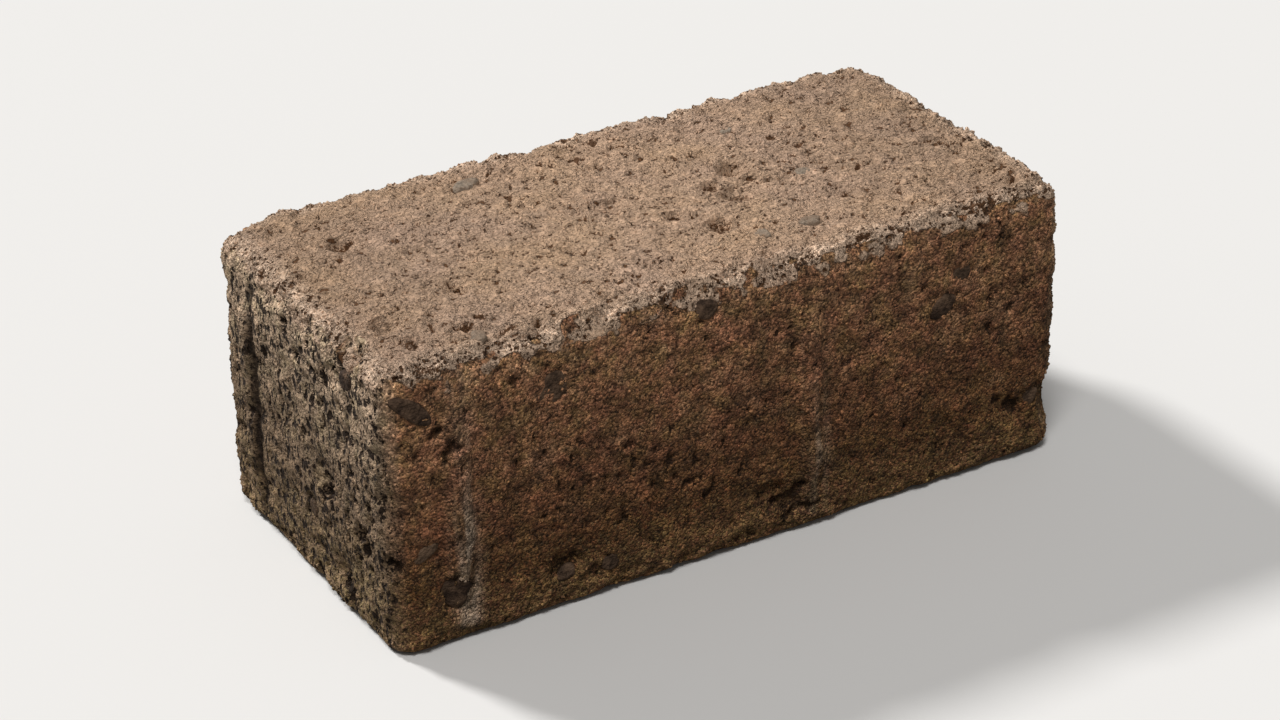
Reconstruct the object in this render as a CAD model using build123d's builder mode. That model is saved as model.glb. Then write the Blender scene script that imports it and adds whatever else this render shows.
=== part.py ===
"""Concrete paving brick: one pressed solid with cast spacer ribs and a worn, chipped arris.

Millimetres, +Z up. The origin is the middle of the bed face, with +X along the length.
"""

import os
from math import sqrt

from build123d import *

# Laying module: the block with the joint that its ribs hold open
MODULE_LENGTH = 200.0
MODULE_WIDTH = 100.0
CAST_HEIGHT = 80.0

# What traffic has taken off the wearing face
SURFACE_WEAR = 1.5

# Edges, rounded by wear; the corner radius is that of the flat wearing face, inside its arris
FACE_CORNER_RADIUS = 1.5
ARRIS_RADIUS = 6.5
FOOT_RADIUS = 4.0

# Spacer ribs, cast upright on the sides and fading into them at both ends
RIB_DEPTH = 1.5
RIB_WIDTH = 8.0
RIB_INSET = 20.0
RIB_LEAD_IN = 9.0
RIB_TOP_GAP = 7.0
RIB_FOOT_GAP = 4.0
RIB_ROOT = 1.0

# Chips knocked out of the edges, as shares of the edge's length from its middle
CHIP_RADIUS = 17.0
CHIP_DEPTH = 2.2
FRONT_CHIP_SHARES = (-0.21, -0.06, 0.05)
NOTCH_RADIUS = 8.0
NOTCH_DEPTH = 3.4
NOTCH_SHARE = -0.29
HEEL_RADIUS = 13.0
HEEL_DEPTH = 3.0
HEEL_RISE_SHARE = 0.19

# Hollows worn in the faces, as shares of the face: along and across it from its middle, and up from the foot
HOLLOW_RADIUS = 10.0
HOLLOW_DEPTH = 1.4
TOP_HOLLOW_SHARES = (
    (-0.43, -0.25),
    (-0.38, 0.2),
    (-0.31, -0.16),
    (-0.04, 0.03),
    (0.05, -0.22),
    (0.12, -0.09),
    (0.15, 0.05),
    (0.17, 0.33),
    (0.24, -0.22),
)
FRONT_HOLLOW_SHARES = ((-0.26, 0.16), (0.04, 0.17), (0.16, 0.62))
LEFT_HOLLOW_SHARES = ((-0.32, 0.34), (-0.2, 0.16), (-0.13, 0.45))

# The block between its ribs
body_length = MODULE_LENGTH - 2 * RIB_DEPTH
body_width = MODULE_WIDTH - 2 * RIB_DEPTH
body_height = CAST_HEIGHT - SURFACE_WEAR
corner_radius = FACE_CORNER_RADIUS + ARRIS_RADIUS

# How far a rounded edge lies inside the sharp one, along each of its two faces
EASE_SHARE = 1 - 1 / sqrt(2)

# The rib is a round bar sunk in the side: its chord there is RIB_WIDTH, and RIB_DEPTH stands out
rib_radius = (RIB_WIDTH**2 / 4 + RIB_DEPTH**2) / (2 * RIB_DEPTH)
rib_sunk = rib_radius - RIB_DEPTH
rib_end_radius = rib_sunk - RIB_ROOT
rib_top = body_height - RIB_TOP_GAP
rib_lead = RIB_LEAD_IN * (RIB_DEPTH + RIB_ROOT) / RIB_DEPTH


def rib_places():
    """One rib for each square half of a side, the same way from its left-hand corner as seen from outside."""
    side_x = body_length / 2 - rib_sunk
    side_y = body_width / 2 - rib_sunk
    half = MODULE_LENGTH / 2
    return [
        (RIB_INSET - half, -side_y),
        (RIB_INSET, -side_y),
        (side_x, RIB_INSET - MODULE_WIDTH / 2),
        (half - RIB_INSET, side_y),
        (-RIB_INSET, side_y),
        (-side_x, MODULE_WIDTH / 2 - RIB_INSET),
    ]


def arris_chip_place(along, outward, reach, radius, depth):
    """Centre of a ball that bites depth into the rounded top edge of the side that faces outward."""
    ease = EASE_SHARE * ARRIS_RADIUS
    lift = (radius - depth) / sqrt(2)
    out = reach - ease + lift
    return along + outward * out + Vector(0, 0, body_height - ease + lift)


# One spacer rib, turned about its own axis and standing at the height that it has on the block
with BuildPart() as spacer_rib:
    with BuildSketch(Plane.XZ):
        with BuildLine():
            Polyline(
                (0, RIB_FOOT_GAP),
                (rib_end_radius, RIB_FOOT_GAP),
                (rib_radius, RIB_FOOT_GAP + rib_lead),
                (rib_radius, rib_top - rib_lead),
                (rib_end_radius, rib_top),
                (0, rib_top),
                close=True,
            )
        make_face()
    revolve(axis=Axis.Z)

# The block itself
with BuildPart() as concrete_brick:
    with BuildSketch():
        RectangleRounded(body_length, body_width, corner_radius)
    extrude(amount=body_height)
    fillet(faces().sort_by(Axis.Z)[-1].edges(), ARRIS_RADIUS)
    fillet(faces().sort_by(Axis.Z)[0].edges(), FOOT_RADIUS)
    with Locations(*rib_places()):
        add(spacer_rib.part)

    # Shallow chips along the front arris
    front = Vector(0, -1, 0)
    front_chips = [
        arris_chip_place(Vector(share * body_length, 0, 0), front, body_width / 2, CHIP_RADIUS, CHIP_DEPTH)
        for share in FRONT_CHIP_SHARES
    ]
    with Locations(*front_chips):
        Sphere(CHIP_RADIUS, mode=Mode.SUBTRACT)

    # A deeper notch in the left end's arris
    left = Vector(-1, 0, 0)
    notch_along = Vector(0, NOTCH_SHARE * body_width, 0)
    with Locations(arris_chip_place(notch_along, left, body_length / 2, NOTCH_RADIUS, NOTCH_DEPTH)):
        Sphere(NOTCH_RADIUS, mode=Mode.SUBTRACT)

    # The front right-hand corner, knocked off low down
    corner_ease = EASE_SHARE * corner_radius
    heel_lift = (HEEL_RADIUS - HEEL_DEPTH) / sqrt(2)
    heel_x = body_length / 2 - corner_ease + heel_lift
    heel_y = corner_ease - body_width / 2 - heel_lift
    with Locations((heel_x, heel_y, HEEL_RISE_SHARE * body_height)):
        Sphere(HEEL_RADIUS, mode=Mode.SUBTRACT)

    # Hollows in the three faces that show the most wear, the balls turned so that no seam of theirs lies in one
    lift = HOLLOW_RADIUS - HOLLOW_DEPTH
    top_hollows = [(x * body_length, y * body_width, body_height + lift) for x, y in TOP_HOLLOW_SHARES]
    front_hollows = [(x * body_length, -body_width / 2 - lift, z * body_height) for x, z in FRONT_HOLLOW_SHARES]
    left_hollows = [(-body_length / 2 - lift, y * body_width, z * body_height) for y, z in LEFT_HOLLOW_SHARES]
    with Locations(*top_hollows, *front_hollows, *left_hollows):
        Sphere(HOLLOW_RADIUS, rotation=(0, 0, 180), mode=Mode.SUBTRACT)

concrete_brick.part.label = "concrete_brick"

os.makedirs("parts", exist_ok=True)
export_step(concrete_brick.part, "parts/concrete_brick.step")
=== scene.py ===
"""Looks of a weathered concrete brick: its worn relief, the stones and grit in its skin, and its stains."""

from functools import partial
from math import pi, radians

import bmesh
import bpy
import numpy as np
from mathutils import Euler, Matrix, Vector, noise


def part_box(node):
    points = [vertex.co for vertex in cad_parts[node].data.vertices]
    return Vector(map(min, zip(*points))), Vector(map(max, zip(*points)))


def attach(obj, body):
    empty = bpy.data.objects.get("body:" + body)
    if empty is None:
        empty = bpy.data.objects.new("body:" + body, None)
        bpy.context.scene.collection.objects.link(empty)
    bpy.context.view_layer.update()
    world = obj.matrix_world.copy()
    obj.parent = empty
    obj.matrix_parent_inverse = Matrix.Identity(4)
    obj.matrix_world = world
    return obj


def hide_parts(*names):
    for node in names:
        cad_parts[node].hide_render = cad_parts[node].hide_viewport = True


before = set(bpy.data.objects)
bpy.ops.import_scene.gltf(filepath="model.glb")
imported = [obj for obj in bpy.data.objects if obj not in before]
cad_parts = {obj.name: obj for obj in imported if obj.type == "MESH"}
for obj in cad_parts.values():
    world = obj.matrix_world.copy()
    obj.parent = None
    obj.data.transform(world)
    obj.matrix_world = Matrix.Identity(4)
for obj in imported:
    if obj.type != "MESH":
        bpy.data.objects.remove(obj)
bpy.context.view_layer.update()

MM = 0.001
BRICK = "concrete_brick"
FINISH = "weathered_concrete"

# The brick's box in mm, and its body inside the spacer ribs
LOW, HIGH = (np.array(corner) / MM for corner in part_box(BRICK))
RIB_DEPTH = 1.5
RIB_INSET = 20
ARRIS_RADIUS = 6.5
HALF_LENGTH = HIGH[0] - RIB_DEPTH
HALF_WIDTH = HIGH[1] - RIB_DEPTH
HEIGHT = HIGH[2]

# Each face as its origin, its directions across and up as seen from outside, and its outward direction
FACES = {
    "top": np.array([(0, 0, HEIGHT), (1, 0, 0), (0, 1, 0), (0, 0, 1)]),
    "bed": np.array([(0, 0, 0), (1, 0, 0), (0, -1, 0), (0, 0, -1)]),
    "front": np.array([(0, -HALF_WIDTH, 0), (1, 0, 0), (0, 0, 1), (0, -1, 0)]),
    "back": np.array([(0, HALF_WIDTH, 0), (-1, 0, 0), (0, 0, 1), (0, 1, 0)]),
    "left": np.array([(-HALF_LENGTH, 0, 0), (0, -1, 0), (0, 0, 1), (-1, 0, 0)]),
    "right": np.array([(HALF_LENGTH, 0, 0), (0, 1, 0), (0, 0, 1), (1, 0, 0)]),
}

# Mesh of the skin: the side of one of its squares, and how near corners of the CAD mesh are merged, in mm
SKIN_GRID = 0.93
MERGE_GAP = 0.001

# Cosines to a face's outward direction between which a point comes to belong to that face
FACING = (0.35, 0.8)

# Relief of the top, the ends, the long sides and the bed: height of the sand grains in mm,
# how high the noise has to rise to make a pit, and depth of the pits in mm
GRAIN_HEIGHT = (0.25, 0.45, 0.55, 0.3)
PIT_LIMIT = (1.5, 1.55, 1.9, 1.8)
PIT_DEPTH = (0.9, 1.0, 0.8, 0.6)

# How far from an edge its wear reaches, in mm
WEAR_REACH = 9

# Groove beside each rib of the ends: place off the long axis, breadth and depth in mm
GROOVE_PLACE = 26.2
GROOVE_BREADTH = 1.5
GROOVE_DEPTH = 0.7

# Hollows that the photo shows, as (across, up, width, depth) in mm on each face
HOLLOWS = {
    "top": [
        (24, -9, 7, 1.5),
        (29, 5, 6, 1.5),
        (31, -3, 5, 1.3),
        (11, -20, 6, 1.3),
        (19, -2, 5, 1.4),
        (3, -11, 4, 1.2),
        (-76, 20, 6, 1.2),
        (-62, 22, 5, 0.9),
        (-84, -36, 6, 1.6),
        (-91, 9, 3, 1.6),
        (-84, -24, 5, 0.6),
        (34, 42, 8, 1.4),
    ],
    "front": [
        (-82, 15.6, 9, 1.9),
        (-82, 55, 6, 2.0),
        (-85, 60, 4, 1.6),
        (-51, 12, 8, 0.9),
        (-43, 8, 6, 0.8),
        (13, 11, 9, 2.0),
        (19, 7, 5, 1.5),
        (82, 17, 6, 1.4),
        (77, 20, 4, 1.0),
    ],
    "left": [
        (14, 32, 6, 2.0),
        (32, 27, 7, 1.8),
        (-6, 70, 5, 1.6),
        (22, 8, 8, 1.8),
        (46, 26, 5, 2.0),
        (27, 70, 7, 1.4),
    ],
}

# Stones that the photo shows, as (across, up, width, height, turn in degrees, tone) in mm on each face
STONES = {
    "top": [
        (-33, 34, 9, 6, 20, 0.55),
        (41, 27, 6, 5, 60, 0.6),
        (30, -31, 7, 5, 10, 0.5),
        (16, -31, 6, 5, 40, 0.6),
        (44, -6, 5, 5, 30, 0.55),
        (-68, -40, 6, 4, 70, 0.5),
    ],
    "front": [
        (-91, 67.5, 13, 5, -40, 0.06),
        (-82, 15.6, 9, 9, 20, 0.06),
        (-53, 63, 11, 9, 30, 0.14),
        (-10, 71, 7, 5, 0, 0.12),
        (66, 61, 6, 5, 10, 0.22),
        (60, 53, 9, 7, 40, 0.12),
        (-89, 28.5, 8, 4, 35, 0.3),
        (-51, 10, 6, 4, 20, 0.15),
        (-39, 9, 6, 5, 0, 0.15),
        (89, 18.5, 6, 5, 60, 0.2),
    ],
    "left": [
        (4, 22, 5, 5, 30, 0.25),
        (28, 68, 7, 6, 30, 0.12),
    ],
}

# Counts of both on the faces that the photo doesn't show, where a fixed seed scatters them,
# with half the reach across the face and the lowest and highest place up it, in mm
UNSEEN_HOLLOWS = {"back": 14, "right": 9, "bed": 10}
UNSEEN_STONES = {"back": 12, "right": 6, "bed": 14}
UNSEEN_REACH = {"back": (90, 8, 70), "right": (42, 8, 70), "bed": (90, -42, 42)}

# A stone's thickness as a share of its height, its worn flat as a share of that above its middle,
# and how deep the flat lies under the smooth skin in mm
STONE_THICKNESS = 0.8
STONE_FLAT = 0.3
STONE_SINK = 0.25

# The seat worn round a stone: width as a share of the stone's, and depth in mm
SEAT_WIDTH = 1.2
SEAT_DEPTH = 0.5

# Sand grains that stand out of the skin, as a count, sizes in mm and spread of tone for each kind of face
GRAINS = {
    "wearing_face": (4500, 0.7, 1.8, 0.3),
    "long_side": (9200, 0.7, 2.0, 1.0),
    "short_end": (4000, 0.7, 1.8, 0.5),
}

# Shapes of grain, depth of a grain's middle under the skin as a share of its size, its lowest place in mm,
# how likely it is away from worn edges, and the cosines between which a face comes to hold grains
GRAIN_KINDS = 16
GRAIN_SINK = 0.2
GRAIN_LOWEST = 2
GRAIN_OFF_EDGE = 0.12
GRAIN_FACING = (0.5, 0.8)

# What the finish reads at each point of a piece
SHARES = ("top_skin", "end_skin", "pit", "crest", "rib_highlight", "abraded", "ledge", "groove_dirt_and_shade", "tone")

# Fixed seed of all that is scattered, and the step between the places where two noise patterns are read
chance = np.random.default_rng(20)
SEED_STEP = 17.3

# Between these values lies most of a noise texture
NOISE_SPAN = (0.3, 0.7)


def smoothstep(low, high, value):
    """Rises smoothly from 0 at low to 1 at high."""
    share = np.clip((value - low) / (high - low), 0, 1)
    return share * share * (3 - 2 * share)


def waves(points, size, octaves=2, seed=0):
    """Fractal noise at points in mm, with features of the given size, scaled to mean 0 and spread 1."""
    places = (points / size + SEED_STEP * seed).tolist()
    values = np.array([noise.fractal(place, 1.0, 2.0, octaves) for place in places])
    return (values - values.mean()) / values.std()


def grains(points, size, seed=0):
    """Distance to the nearest of scattered points about one size apart, and its own number from 0 to 1."""
    near = []
    own = []
    for place in (points / size + SEED_STEP * seed).tolist():
        distances, centres = noise.voronoi(place)
        near.append(distances[0])
        own.append(noise.cell(centres[0]))
    return np.array(near), np.array(own)


def scatter_unseen():
    """Hollows and stones of the faces that the photo doesn't show, in the order of the tables above."""
    for face, (side, low, high) in UNSEEN_REACH.items():
        HOLLOWS[face] = [
            (
                chance.uniform(-side, side),
                chance.uniform(low, high),
                chance.uniform(4, 9),
                chance.uniform(1, 2),
            )
            for _ in range(UNSEEN_HOLLOWS[face])
        ]
        STONES[face] = [
            (
                chance.uniform(-side, side),
                chance.uniform(low, high),
                chance.uniform(5, 9),
                chance.uniform(4, 6),
                chance.uniform(0, 180),
                chance.uniform(0.1, 0.7),
            )
            for _ in range(UNSEEN_STONES[face])
        ]


def skin_from_cad():
    """A closed, even mesh of the brick, from a merged copy of its CAD mesh."""
    merged = bmesh.new()
    merged.from_mesh(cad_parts[BRICK].data)
    bmesh.ops.remove_doubles(merged, verts=merged.verts, dist=MERGE_GAP * MM)
    mesh = bpy.data.meshes.new("brick_body")
    merged.to_mesh(mesh)
    merged.free()
    body = bpy.data.objects.new("brick_body", mesh)
    bpy.context.scene.collection.objects.link(body)
    remesh = body.modifiers.new("even_skin", "REMESH")
    remesh.mode = "VOXEL"
    remesh.voxel_size = SKIN_GRID * MM
    shown = body.evaluated_get(bpy.context.evaluated_depsgraph_get())
    even = bpy.data.meshes.new_from_object(shown)
    body.modifiers.clear()
    body.data = even
    bpy.data.meshes.remove(mesh)
    even.name = "brick_body"
    even.shade_smooth()
    return body


def hollow_depths(points, normals):
    """Depth at each point of the hollows and of the seats of the stones, with ragged outlines."""
    ragged = waves(points, 2.6, seed=8)
    depths = np.zeros(len(points))
    for face, (origin, across, up, out) in FACES.items():
        facing = smoothstep(*FACING, normals @ out)
        x = (points - origin) @ across
        y = (points - origin) @ up
        seats = [(*stone[:2], SEAT_WIDTH * max(stone[2:4]), SEAT_DEPTH) for stone in STONES[face]]
        for centre_x, centre_y, width, depth in HOLLOWS[face] + seats:
            reach = np.hypot(x - centre_x, y - centre_y) / (width / 2)
            cut = depth * (1 - smoothstep(0.45, 1.05, reach + 0.25 * ragged))
            depths = np.maximum(depths, cut * facing)
    return depths


def sculpt(points, normals):
    """Outward move of each skin point in mm, and the shares that the finish reads at it."""
    x, y, z = points.T
    top = smoothstep(*FACING, normals[:, 2])
    bed = smoothstep(*FACING, -normals[:, 2])
    end = smoothstep(*FACING, np.abs(normals[:, 0]))
    side = smoothstep(*FACING, np.abs(normals[:, 1]))
    faces = np.stack([top, end, side, bed])
    faces /= faces.sum(axis=0)

    # How near an edge lies, from the second nearest of the faces
    gaps = np.stack([HALF_LENGTH - np.abs(x), HALF_WIDTH - np.abs(y), HEIGHT - z, z])
    edge = np.sort(gaps, axis=0)[1]
    worn = 1 - smoothstep(0, WEAR_REACH, edge)
    high = smoothstep(HEIGHT - 14, HEIGHT - 3, z)

    # Broad waves of the pressed faces, and lumps that stand out at the worn edges
    move = 0.2 * waves(points, 40, seed=1) + 0.1 * waves(points, 14, seed=2)
    lumps = waves(points, 5, octaves=3, seed=3)
    move += (0.1 + worn * (0.16 + 0.26 * high)) * lumps

    # Skin that has flaked off, most of it on top and near the edges
    near_edge = 1 - smoothstep(3, 24, edge)
    flakes = waves(points, 7, octaves=4, seed=12) + 0.4 * near_edge
    flaked = 0.3 * smoothstep(-0.5, -0.2, flakes) + smoothstep(0.6, 0.95, flakes) * (0.5 + 0.4 * near_edge)
    move -= flaked * (1 - 0.7 * side - 0.3 * end) * (1 - bed)
    move -= worn * (0.15 + 0.4 * np.maximum(0, waves(points, 11, seed=4)))

    # Knobs of mortar along the worn top edges, with gaps between them
    near, own = grains(points, 5.5, seed=13)
    knobs = worn * high
    move += 1.4 * knobs * (0.45 - near) * (0.5 + own)
    gap = knobs * (1 - 0.7 * end) * smoothstep(0.52, 0.7, near)

    # Sand grains
    near, own = grains(points, 2.1, seed=5)
    grain = (0.42 - near) * (0.5 + own)
    move += np.dot(GRAIN_HEIGHT, faces) * grain

    # Pits between the grains, drawn out upright: more on the top and the ends than on the sides and the bed,
    # and most where the top is hollow
    ragged = waves(points * (1, 1, 0.6), 2.6, octaves=3, seed=6)
    patches = waves(points, 22, seed=7)
    limit = np.dot(PIT_LIMIT, faces) - 0.35 * patches
    limit -= 0.8 * top * smoothstep(0.2, 1.2, HEIGHT - z) * (1 - worn)
    pit = smoothstep(limit, limit + 0.4, ragged)
    move -= pit * np.dot(PIT_DEPTH, faces)

    # The larger hollows, and the groove beside each rib of the ends, on its side towards the long axis
    hollow = hollow_depths(points, normals)
    lee = np.exp(-(((np.sign(x) * y + GROOVE_PLACE) / GROOVE_BREADTH) ** 2)) * end
    lee *= smoothstep(2, 8, z) * (1 - smoothstep(66, 74, z))
    move -= hollow + GROOVE_DEPTH * lee
    # The share that the finish darkens with dirt and painted shade, taking in the gaps between the knobs and
    # the hollows
    pit = np.maximum(np.maximum(pit, 0.8 * gap), smoothstep(0.3, 1.2, hollow) * (1 - 0.35 * top))

    # The bed stays flat enough to lie on
    move = np.where(bed > 0.5, np.minimum(move, 0) * 0.6, move)

    # The sandy skin of the top ends raggedly on the arris, and higher up where that is chipped
    rounding = np.maximum(ARRIS_RADIUS - np.stack([np.minimum(gaps[0], gaps[1]), gaps[2]]), 0)
    chipped = smoothstep(0.3, 1.3, ARRIS_RADIUS - np.hypot(*rounding)) * (rounding.min(axis=0) > 0)
    frayed = 2.2 * waves(points, 5, octaves=3, seed=9)
    skin = smoothstep(-3.0, 3.0, z - (HEIGHT - 3.2) + frayed - 1.2 * chipped)
    skin = np.maximum(skin, smoothstep(0.6, 0.8, normals[:, 2]))

    # Upright streaks that the mould has dragged, coarse on the sides and fine on the ends
    fine_drag = waves(points * (1, 1, 0.1), 2, seed=14)
    streaked = 0.1 * side * waves(points * (1, 1, 0.12), 4, seed=10) + 0.14 * end * fine_drag

    # The pale flank of each rib of the sides, a painted highlight, by the distance from its middle; one of
    # two is palest
    beside = (HIGH[0] / 2 - RIB_INSET - np.sign(y) * x) % HIGH[0] - HIGH[0] / 2
    flank = np.exp(-(((beside - 2) / 3) ** 2)) * side
    rib_highlight_fade = np.where(x * y > 0, 1, 0.35) * smoothstep(2, 6, z) * (1 - 0.8 * smoothstep(22, 50, z))

    # The top is paler towards its middle
    paler = 0.26 * top * (smoothstep(0, 80, gaps[0]) - 0.5)
    shares = {
        "top_skin": skin * (1 - bed),
        "end_skin": end / np.maximum(end + side, 0.05),
        "pit": pit,
        # Paler on crests and darker between lumps and grains: painted light and shade
        "crest": smoothstep(-1.6, 1.6, lumps + 1.6 * grain),
        # A painted highlight on one flank of the ribs
        "rib_highlight": flank * rib_highlight_fade * np.clip(0.7 + 0.45 * fine_drag, 0, 1),
        # The groove, darkened with dirt and painted shade in the finish
        "groove_dirt_and_shade": lee,
        "tone": np.clip(0.5 + streaked + paler, 0, 1),
        "abraded": knobs,
        "worn": worn,
    }
    return move, shares


def mesh_vectors(values):
    """The vectors of a mesh's vertices or normals as rows."""
    rows = np.empty(len(values) * 3)
    values.foreach_get("co" if hasattr(values[0], "co") else "vector", rows)
    return rows.reshape(-1, 3)


def write_shares(mesh, shares):
    """Stores the shares at the points of a mesh, where its finish reads them."""
    for name in SHARES:
        mesh.attributes.new(name, "FLOAT", "POINT").data.foreach_set("value", shares[name])


def sculpted_body():
    """The brick's skin with its relief, its points without and with that, their normals and their shares."""
    body = skin_from_cad()
    mesh = body.data
    smooth = mesh_vectors(mesh.vertices) / MM
    normals = mesh_vectors(mesh.vertex_normals)
    move, shares = sculpt(smooth, normals)
    points = smooth + normals * move[:, None]
    points[:, 2] = np.maximum(points[:, 2], LOW[2])
    mesh.vertices.foreach_set("co", (points * MM).ravel())
    mesh.update()
    # Ledges that face up are painted paler and lips that face down darker: painted light and shade
    tilt = mesh_vectors(mesh.vertex_normals)[:, 2] - normals[:, 2]
    shares["ledge"] = np.clip(0.5 + tilt, 0, 1)
    write_shares(mesh, shares)
    return body, smooth, points, normals, shares


def embedded_stones(points, normals):
    """Gravel that lies bare in the skin: rounded stones with worn flat faces, as one joined mesh."""
    joined = bmesh.new()
    tones = joined.verts.layers.float.new("tone")
    for face, (origin, across, up, out) in FACES.items():
        for place_x, place_y, width, height, turn, tone in STONES[face]:
            made = bmesh.ops.create_icosphere(joined, subdivisions=3, radius=0.5)["verts"]
            seed = Vector((place_x, place_y, width))
            for vert in made:
                lump = 0.3 * noise.noise(vert.co * 2.2 + seed)
                vert.co *= 1 + lump + 0.06 * noise.noise(vert.co * 9 + seed)
                vert.co.z = min(vert.co.z, STONE_FLAT + 0.05 * noise.noise(vert.co * 5 + seed))
                vert[tones] = tone
            bmesh.ops.scale(joined, vec=(width, height, STONE_THICKNESS * height), verts=made)
            bmesh.ops.rotate(joined, matrix=Matrix.Rotation(radians(turn), 3, "Z"), verts=made)
            seat = np.linalg.norm(points - (origin + place_x * across + place_y * up), axis=1).argmin()
            tilt = Vector(out).rotation_difference(Vector(normals[seat])).to_matrix()
            to_face = (tilt @ Matrix((across, up, out)).transposed()).to_4x4()
            sink = STONE_SINK + STONE_FLAT * STONE_THICKNESS * height
            centre = points[seat] - sink * normals[seat]
            bmesh.ops.transform(joined, matrix=Matrix.Translation(centre) @ to_face, verts=made)
    bmesh.ops.scale(joined, vec=(MM, MM, MM), verts=joined.verts)
    mesh = bpy.data.meshes.new("embedded_stones")
    joined.to_mesh(mesh)
    joined.free()
    mesh.shade_smooth()
    stones = bpy.data.objects.new("embedded_stones", mesh)
    bpy.context.scene.collection.objects.link(stones)
    return stones


def sand_grain(seed):
    """Corners and triangles of one broken grain, about 1 across."""
    grain = bmesh.new()
    made = bmesh.ops.create_icosphere(grain, subdivisions=1, radius=0.5)["verts"]
    for vert in made:
        vert.co *= 1 + 0.45 * noise.noise(vert.co * 2.5 + Vector((seed, 2.7 * seed, 0)))
    bmesh.ops.scale(grain, vec=(1, 0.85, 0.7), verts=made)
    corners = np.array([vert.co for vert in grain.verts])
    triangles = np.array([[vert.index for vert in face.verts] for face in grain.faces])
    grain.free()
    return corners, triangles


def sand_grains(name, weight, points, normals, shares):
    """Grains of sand sunk in the skin, as one joined mesh; weight says how likely each point holds one."""
    count, small, large, spread = GRAINS[name]
    hosts = chance.choice(len(points), count, replace=False, p=weight / weight.sum())
    kinds = [sand_grain(seed) for seed in range(GRAIN_KINDS)]
    per_grain = len(kinds[0][0])
    corners = []
    for number, host in enumerate(hosts):
        # The cube makes most of the grains small
        size = small + (large - small) * chance.random() ** 3
        turn = np.array(Euler(chance.uniform(0, 2 * pi, 3)).to_matrix())
        centre = points[host] - GRAIN_SINK * size * normals[host]
        corners.append(size * kinds[number % GRAIN_KINDS][0] @ turn.T + centre)
    triangles = [kinds[number % GRAIN_KINDS][1] + number * per_grain for number in range(count)]
    corners = np.concatenate(corners)
    corners[:, 2] = np.maximum(corners[:, 2], LOW[2])
    mesh = bpy.data.meshes.new("sand_of_" + name)
    mesh.from_pydata(corners * MM, [], np.concatenate(triangles).tolist())
    own = {key: np.repeat(values[hosts], per_grain) for key, values in shares.items()}
    own["tone"] = np.repeat(0.5 + spread * (chance.random(count) - 0.5), per_grain)

    # A grain holds less dirt and painted shade than the skin round it
    own["pit"] *= 0.5
    own["groove_dirt_and_shade"] *= 0.6
    write_shares(mesh, own)
    sand = bpy.data.objects.new(mesh.name, mesh)
    bpy.context.scene.collection.objects.link(sand)
    return sand


def linear(code):
    """An sRGB hex colour as linear red, green, blue and alpha."""
    channels = [int(code[i : i + 2], 16) / 255 for i in (1, 3, 5)]
    return (*[c / 12.92 if c <= 0.04045 else ((c + 0.055) / 1.055) ** 2.4 for c in channels], 1)


def add(tree, kind, inputs=(), stops=(), give=0, **settings):
    """Adds a shader node with its settings, links and ramp colours, and gives one of its outputs.

    Inputs are values or outputs to link, in the order of the node's sockets or by their names.
    """
    node = tree.nodes.new("ShaderNode" + kind)
    for name, value in settings.items():
        setattr(node, name, value)
    sockets = [socket for socket in node.inputs if socket.enabled]
    for key, value in inputs.items() if isinstance(inputs, dict) else enumerate(inputs):
        socket = node.inputs[key] if isinstance(key, str) else sockets[key]
        if isinstance(value, bpy.types.NodeSocket):
            tree.links.new(value, socket)
        else:
            socket.default_value = value
    for i, (place, code) in enumerate(stops):
        elements = node.color_ramp.elements
        stop = elements[i] if i < 2 else elements.new(place)
        stop.position = place
        stop.color = linear(code)
    results = [socket for socket in node.outputs if socket.enabled]
    if results:
        return node.outputs[give] if isinstance(give, str) else results[give]


def new_material(name):
    """An empty material and its node tree."""
    material = bpy.data.materials.new(name)
    material.use_nodes = True
    material.node_tree.nodes.clear()
    return material, material.node_tree


def per_metre(size):
    """Texture scale that repeats about once in a size given in mm."""
    return 1 / (size * MM)


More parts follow.
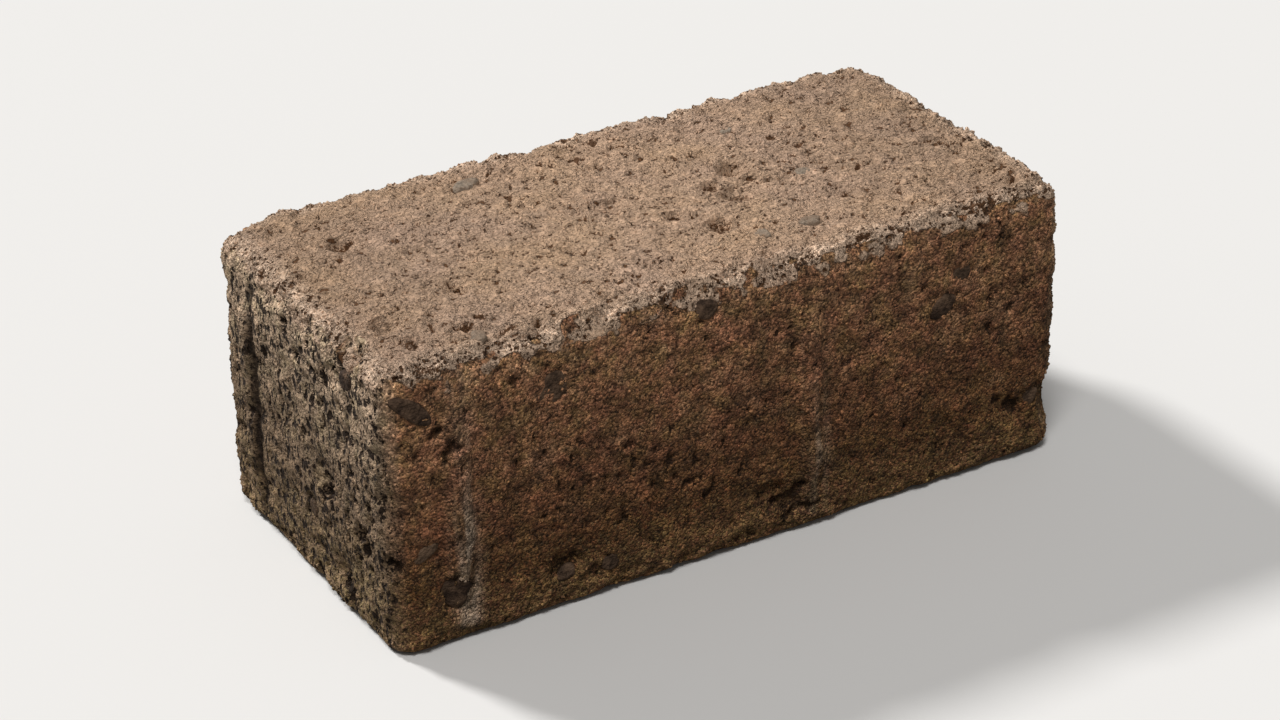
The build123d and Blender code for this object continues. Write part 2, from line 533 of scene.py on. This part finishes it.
def weathered_concrete():
    """Semi-dry pressed concrete, worn by traffic: a sandy top, ends full of pits, and stained brown sides."""
    material, tree = new_material(FINISH)
    node = partial(add, tree)
    place = node("TexCoord", give="Object")
    share = {name: node("Attribute", attribute_name=name, give="Fac") for name in SHARES}
    height = node("SeparateXYZ", (place,), give=2)

    # Patterns from stains down to single grains; the mottle's red drives the shade and its others the hue
    mottle = node("TexNoise", {"Vector": place, "Scale": per_metre(7), "Detail": 4.0, "Roughness": 0.75})
    hues = node("SeparateColor", (mottle.node.outputs["Color"],), give=1)
    other = hues.node.outputs[2]
    coarse = node("TexNoise", {"Vector": place, "Scale": per_metre(3.0), "Detail": 3.0, "Roughness": 0.6})
    grit = node("TexNoise", {"Vector": place, "Scale": per_metre(0.7), "Detail": 2.0, "Roughness": 0.8})
    crumb = node("TexNoise", {"Vector": place, "Scale": per_metre(1.5), "Detail": 1.0})
    dome = node("TexVoronoi", {"Vector": place, "Scale": per_metre(0.65)}, give="Distance")
    sand = node("SeparateColor", (dome.node.outputs["Color"],))
    sand_kind = sand.node.outputs[1]

    # The sandy wearing face wraps round the arris and ends there in a ragged line
    edge = node("Math", (share["top_skin"], node("MapRange", (coarse, *NOISE_SPAN, -0.2, 0.2))))
    on_top = node("MapRange", (edge, 0.38, 0.62))

    # Base colours: sand, the paste of the ends, and the stained sides
    broad = node("TexNoise", {"Vector": place, "Scale": per_metre(25), "Detail": 3.0})
    sandy = node("ValToRGB", (broad,), [(0.35, "#bb9b82"), (0.5, "#bd9c80"), (0.65, "#bf9d7e")])
    greyed = node("MapRange", (other, 0.5, 0.62, 0, 0.25))
    sandy = node("Mix", (greyed, sandy, linear("#b59a83")), data_type="RGBA")
    paste = node("ValToRGB", (hues,), [(0.4, "#d2b496"), (0.5, "#d0b396"), (0.6, "#cab190")])
    brown = node("ValToRGB", (hues,), [(0.38, "#b17c5d"), (0.5, "#af805c"), (0.62, "#ab855a")])
    dusty = node("MapRange", (other, 0.5, 0.65, 0, 0.4))
    brown = node("Mix", (dusty, brown, linear("#c39d7a")), data_type="RGBA")
    sides = node("Mix", (share["end_skin"], brown, paste), data_type="RGBA")

    # The sides are darker low down, painted shade and damp, and paler again at the foot, painted light
    # against the floor's shade; a painted highlight on the ribs and a little moss tint them
    rise = node("MapRange", (height, 0.0, 70 * MM))
    long_damp_and_shade = node("ValToRGB", (rise,), [(0.05, "#d4ccc8"), (0.25, "#a59486"), (1.0, "#ffffff")])
    stops = [(0.05, "#d0c6bc"), (0.25, "#a49c94"), (0.62, "#c4c0ba"), (1.0, "#ffffff")]
    end_damp_and_shade = node("ValToRGB", (rise,), stops)
    damp_and_shade = node("Mix", (share["end_skin"], long_damp_and_shade, end_damp_and_shade), data_type="RGBA")
    # Darker low down and paler at the foot: painted shade and painted light, with damp
    sides = node("VectorMath", (sides, damp_and_shade), operation="MULTIPLY")
    low_down = node("MapRange", (height, 32 * MM, 4 * MM, 0, 0.6))
    moss = node("Math", (low_down, sand_kind), operation="MULTIPLY")
    sides = node("Mix", (moss, sides, linear("#8e7c4a")), data_type="RGBA")
    uneven = node("MapRange", (coarse, *NOISE_SPAN, 0.6, 1.0))
    # A pale streak on one flank of the ribs: painted highlight
    rib_highlight_mix = node("Math", (share["rib_highlight"], uneven), operation="MULTIPLY")
    sides = node("Mix", (rib_highlight_mix, sides, linear("#d3bda6")), data_type="RGBA")

    # The sand of the top, bruised paler along the arris
    colour = node("Mix", (on_top, sides, sandy), data_type="RGBA")
    bruised = node("Math", (share["abraded"], on_top), operation="MULTIPLY")
    colour = node("Mix", (bruised, colour, linear("#e9caae")), data_type="RGBA")

    # Light and dark: the mottle, each grain's own shade, and painted light and shade from the relief, paler
    # on crests and up-facing ledges and darker between lumps and under lips, calmer on top and on the ends;
    # and a few grains of another sand
    light = node("MapRange", (mottle, 0.38, 0.62, 0.65, 1.35))
    even = node("Mix", (on_top, node("Math", (share["end_skin"], 0.6), operation="MULTIPLY"), 0.6))
    light = node("Mix", (even, light, 1.0))
    for source, low, high in ((sand, 0.35, 1.65), (share["crest"], 0.85, 1.12), (share["ledge"], 0.75, 1.25)):
        light = node("Math", (light, node("MapRange", (source, 0.0, 1.0, low, high))), operation="MULTIPLY")
    light = node("Math", (light, node("MapRange", (grit, *NOISE_SPAN, 0.5, 1.5))), operation="MULTIPLY")
    calm = node("Mix", (on_top, node("Math", (share["end_skin"], 0.45), operation="MULTIPLY"), 0.7))
    calm = node("Mix", (bruised, calm, 0.6))
    light = node("Mix", (calm, light, 1.0))
    tone = node("MapRange", (share["tone"], 0.0, 1.0, 0.65, 1.35))
    light = node("Math", (light, tone), operation="MULTIPLY")
    colour = node("VectorMath", (colour, light), operation="MULTIPLY")
    stray = node("MapRange", (sand_kind, 0.97, 0.98, 0.0, 0.25))
    colour = node("Mix", (stray, colour, linear("#a88d6c")), data_type="RGBA")

    # Pores between the grains, in two sizes and with ragged outlines: wide on the ends and the bruised arris,
    # small elsewhere
    drift = (2.5 * MM, 2.5 * MM, 2.5 * MM)
    wander = node("VectorMath", (coarse.node.outputs["Color"], drift), operation="MULTIPLY")
    wander = node("VectorMath", (node("VectorMath", (place, wander)), (1, 1, 0.5)), operation="MULTIPLY")
    width = node("Mix", (share["end_skin"], 0.18, 0.46))
    width = node("Mix", (on_top, width, 0.2))
    width = node("Mix", (bruised, width, 0.4))
    width = node("Math", (width, node("MapRange", (mottle, 0.42, 0.58, 1.25, 0.7))), operation="MULTIPLY")
    ragged = node("MapRange", (grit, *NOISE_SPAN, -0.1, 0.1))
    relief = 0.0
    depth = 0.0
    for size, sunk, least, most in ((2.3, -1.2, 0.1, 0.95), (1.2, -0.7, 0.35, 1.3)):
        pores = node("TexVoronoi", {"Vector": wander, "Scale": per_metre(size)}, give="Distance")
        kind = node("SeparateColor", (pores.node.outputs["Color"],))
        own = node("Math", (width, node("MapRange", (kind, 0.0, 1.0, least, most))), operation="MULTIPLY")
        own = node("Math", (node("Math", (own, ragged)), pores), operation="SUBTRACT")
        bowl = node("MapRange", (own, -0.06, 0.26, 0.0, sunk), interpolation_type="SMOOTHSTEP")
        relief = node("Math", (relief, bowl))
        depth = node("Math", (depth, node("MapRange", (own, 0.02, 0.08))), operation="MAXIMUM")

    # Flakes of skin on the sides; on top small terraces, and bare gaps where the skin is torn
    flaky = node("MapRange", (coarse, 0.36, 0.52))
    torn = node("Math", (coarse, node("MapRange", (mottle, 0.35, 0.65, -0.05, 0.05))))
    gouge = node("Math", (node("MapRange", (torn, 0.32, 0.385, -1.2, 0.0)), on_top), operation="MULTIPLY")
    relief = node("Math", (relief, gouge))
    for step in (0.43, 0.5, 0.57):
        terrace = node("MapRange", (torn, step - 0.014, step + 0.014, 0.0, 0.9))
        relief = node("Math", (relief, node("Math", (terrace, on_top), operation="MULTIPLY")))
    bare = node("Math", (node("MapRange", (torn, 0.335, 0.358, 1.0, 0.0)), on_top), operation="MULTIPLY")
    depth = node("Math", (depth, bare), operation="MAXIMUM")

    # Dirt and painted shade darken the pores, the torn gaps of the top and the hollows, and the groove beside
    # the ribs of the ends
    pit = node("Math", (share["pit"], node("MapRange", (grit, *NOISE_SPAN, 0.35, -0.35))))
    hole = node("Math", (node("MapRange", (pit, 0.5, 0.65)), depth), operation="MAXIMUM")
    hole = node("Math", (hole, share["groove_dirt_and_shade"]), operation="MAXIMUM")
    dark = node("Mix", (on_top, node("Mix", (share["end_skin"], 0.7, 0.96)), 0.95))
    hole = node("Math", (hole, dark), operation="MULTIPLY")
    # The dark brown of the pores and hollows: dirt with painted shade
    dirt_and_shade = node("Mix", (share["end_skin"], linear("#2f2016"), linear("#2c1d12")), data_type="RGBA")
    dirt_and_shade = node("Mix", (on_top, dirt_and_shade, linear("#5c3a1c")), data_type="RGBA")
    colour = node("Mix", (hole, colour, dirt_and_shade), data_type="RGBA")

    # Fine relief beside the pores, by face: flaky skin, crumbs, grit and domed grains
    plate = node("Mix", (on_top, 0.9, 0.0))
    crumbs = node("Mix", (on_top, share["end_skin"], 0.7))
    gritty = node("Mix", (on_top, 0.9, 0.45))
    bead = node("Mix", (on_top, node("Mix", (share["end_skin"], -0.8, -0.3)), -0.25))
    for source, amount in ((flaky, plate), (crumb, crumbs), (grit, gritty), (dome, bead)):
        relief = node("Math", (relief, node("Math", (source, amount), operation="MULTIPLY")))
    skin = {
        "Base Color": colour,
        "Roughness": node("MapRange", (grit, 0.2, 0.8, 0.84, 0.98)),
        "Normal": node("Bump", {"Height": relief, "Strength": 1.0, "Distance": 1.0 * MM}),
        "IOR": 1.5,
        "Specular IOR Level": 0.3,
    }
    node("OutputMaterial", {"Surface": node("BsdfPrincipled", skin)})
    return material


def bare_gravel():
    """River gravel, rounded and rubbed by traffic: closer and less rough than the concrete, grey to brown."""
    material, tree = new_material("bare_gravel")
    node = partial(add, tree)
    place = node("TexCoord", give="Object")
    tone = node("Attribute", attribute_name="tone", give="Fac")
    cloud = node("TexNoise", {"Vector": place, "Scale": per_metre(5), "Detail": 5.0, "Roughness": 0.7})
    speck = node("TexNoise", {"Vector": place, "Scale": per_metre(0.9), "Detail": 2.0})
    stops = [(0.1, "#3d2d22"), (0.3, "#66513f"), (0.6, "#968776"), (0.95, "#bba892")]
    colour = node("ValToRGB", (tone,), stops)
    cast = node("MapRange", (cloud, *NOISE_SPAN, 0.65, 1.35))
    fleck = node("MapRange", (speck, *NOISE_SPAN, 0.7, 1.3))
    shade = node("Math", (cast, fleck), operation="MULTIPLY")
    colour = node("VectorMath", (colour, shade), operation="MULTIPLY")
    dust = node("MapRange", (cloud, 0.46, 0.62, 0, 0.6))
    colour = node("Mix", (dust, colour, linear("#7d6450")), data_type="RGBA")
    skin = {
        "Base Color": colour,
        "Roughness": node("MapRange", (cloud, *NOISE_SPAN, 0.7, 0.95)),
        "Normal": node("Bump", {"Height": speck, "Strength": 1.0, "Distance": 0.8 * MM}),
        "IOR": 1.54,
        "Specular IOR Level": 0.2,
    }
    node("OutputMaterial", {"Surface": node("BsdfPrincipled", skin)})
    return material


def finish_piece(piece, material):
    """Gives a piece its finish and ties it to the brick's one body."""
    piece.data.materials.clear()
    piece.data.materials.append(material)
    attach(piece, "root")


# The camera, fitted to the photo's outline: pixels of a 1280 wide image, degrees and mm
IMAGE_WIDTH = 1280
FOCAL_PIXELS = 3213.5
CAMERA_AZIMUTH = -29.73
CAMERA_ELEVATION = 28.70
CAMERA_ROLL = -1.30
CAMERA_DISTANCE = 809.0
CAMERA_AIM = Vector((-13.5, -20.7, 46.1))
SENSOR_WIDTH = 36
CLIP_START = 10

# Studio: a soft key from behind on the left, a softer lamp overhead that rakes the front, and an even sky;
# each lamp as the direction that it comes from, its softness in degrees and its strength
LAMPS = {
    "key": (Vector((-0.3, 0.72, 0.62)), 8, 2.55),
    "overhead": (Vector((-0.25, -0.31, 0.92)), 18, 1.5),
}
SKY_LIGHT = 0.16

# Floor: its side in mm, its colour to the camera, and the darker one that it throws back on the brick
FLOOR_SIDE = 12000
PALE = "#e6e4e1"
BOUNCE = "#8a8782"


def set_camera():
    """The camera at the photo's viewing angle."""
    data = bpy.data.cameras.new("camera")
    data.sensor_width = SENSOR_WIDTH
    data.lens = FOCAL_PIXELS / IMAGE_WIDTH * SENSOR_WIDTH
    data.clip_start = CLIP_START * MM
    camera = bpy.data.objects.new("camera", data)
    turn = Euler((pi / 2 - radians(CAMERA_ELEVATION), 0, radians(CAMERA_AZIMUTH))).to_matrix().to_4x4()
    turn = turn @ Matrix.Rotation(radians(CAMERA_ROLL), 4, "Z")
    back = turn.col[2].to_3d()
    camera.matrix_world = Matrix.Translation((CAMERA_AIM + back * CAMERA_DISTANCE) * MM) @ turn
    bpy.context.scene.collection.objects.link(camera)
    bpy.context.scene.camera = camera


def set_studio():
    """A plain pale floor, two soft lamps and an even sky."""
    grid = bmesh.new()
    bmesh.ops.create_grid(grid, x_segments=1, y_segments=1, size=FLOOR_SIDE * MM / 2)
    mesh = bpy.data.meshes.new("floor")
    grid.to_mesh(mesh)
    grid.free()
    floor = bpy.data.objects.new("floor", mesh)
    bpy.context.scene.collection.objects.link(floor)
    material, tree = new_material("pale_matt_paper")
    seen = add(tree, "LightPath", give="Is Camera Ray")
    colour = add(tree, "Mix", (seen, linear(BOUNCE), linear(PALE)), data_type="RGBA")
    paper = add(tree, "BsdfPrincipled", {"Base Color": colour, "Roughness": 0.95})
    add(tree, "OutputMaterial", {"Surface": paper})
    mesh.materials.append(material)

    for name, (direction, softness, strength) in LAMPS.items():
        data = bpy.data.lights.new(name, "SUN")
        data.angle = radians(softness)
        data.energy = strength
        lamp = bpy.data.objects.new(name, data)
        lamp.rotation_euler = direction.to_track_quat("Z", "Y").to_euler()
        bpy.context.scene.collection.objects.link(lamp)

    world = bpy.data.worlds.new("sky")
    world.use_nodes = True
    bpy.context.scene.world = world
    background = world.node_tree.nodes["Background"]
    background.inputs["Color"].default_value = (1, 1, 1, 1)
    background.inputs["Strength"].default_value = SKY_LIGHT


scatter_unseen()
body, smooth_points, skin_points, skin_normals, skin_shares = sculpted_body()
concrete = weathered_concrete()
finish_piece(body, concrete)
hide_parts(BRICK)

# Grains keep out of the pits, and on the wearing face and the ends most lie near the edges
facing = np.abs(skin_normals)
above = skin_points[:, 2] > GRAIN_LOWEST
near_edges = GRAIN_OFF_EDGE + skin_shares["worn"]
likely = {
    "wearing_face": smoothstep(*GRAIN_FACING, skin_normals[:, 2]) * near_edges,
    "long_side": smoothstep(*GRAIN_FACING, facing[:, 1]) * above,
    "short_end": smoothstep(*GRAIN_FACING, facing[:, 0]) * above * near_edges,
}
for name, weight in likely.items():
    whole_skin = weight * (1 - skin_shares["pit"])
    finish_piece(sand_grains(name, whole_skin, skin_points, skin_normals, skin_shares), concrete)

finish_piece(embedded_stones(smooth_points, skin_normals), bare_gravel())
set_camera()
set_studio()
bpy.context.scene.view_settings.view_transform = "Standard"
